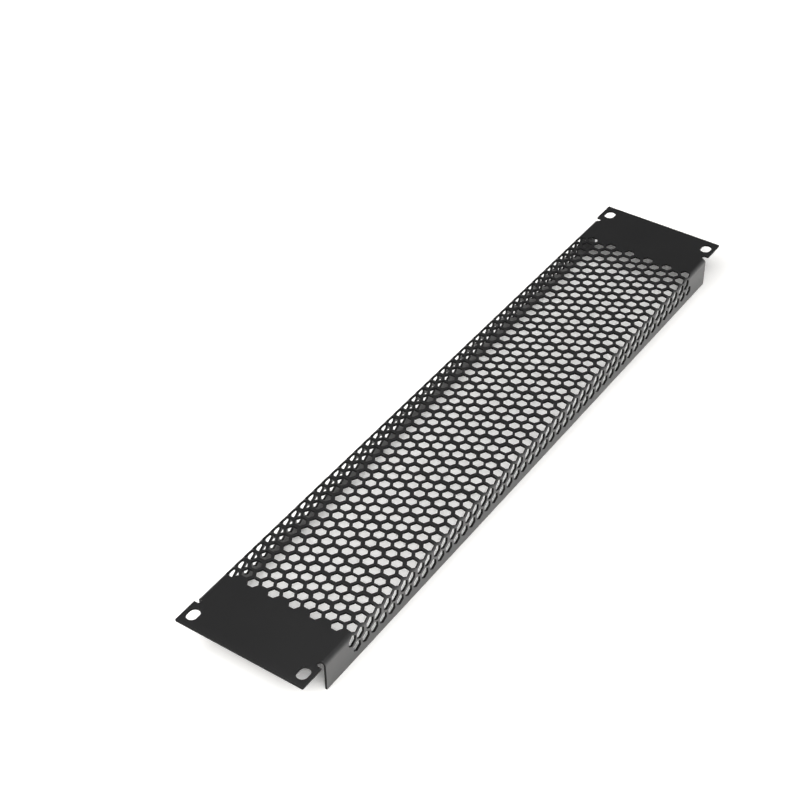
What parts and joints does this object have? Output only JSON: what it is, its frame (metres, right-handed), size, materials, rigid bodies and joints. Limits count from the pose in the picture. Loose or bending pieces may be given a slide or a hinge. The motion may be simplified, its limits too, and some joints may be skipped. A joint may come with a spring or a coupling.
{
  "type": "rack blanking panel",
  "caption": "Vented blanking panel for a 19 inch rack: folded steel sheet with ears, oblong rack holes, side flanges and a grille of hexagons.",
  "frame": {"origin": "under the middle of the panel, in the plane of the two flange edges that it rests on", "axes": "+X along the panel, +Y across it, +Z out of its front face"},
  "size_m": [0.4826, 0.0882, 0.021],
  "materials": {
    "powder_coated_steel": "satin black powder coat"
  },
  "bodies": {
    "root": {"blanking_panel": "powder_coated_steel"}
  },
  "joints": []
}
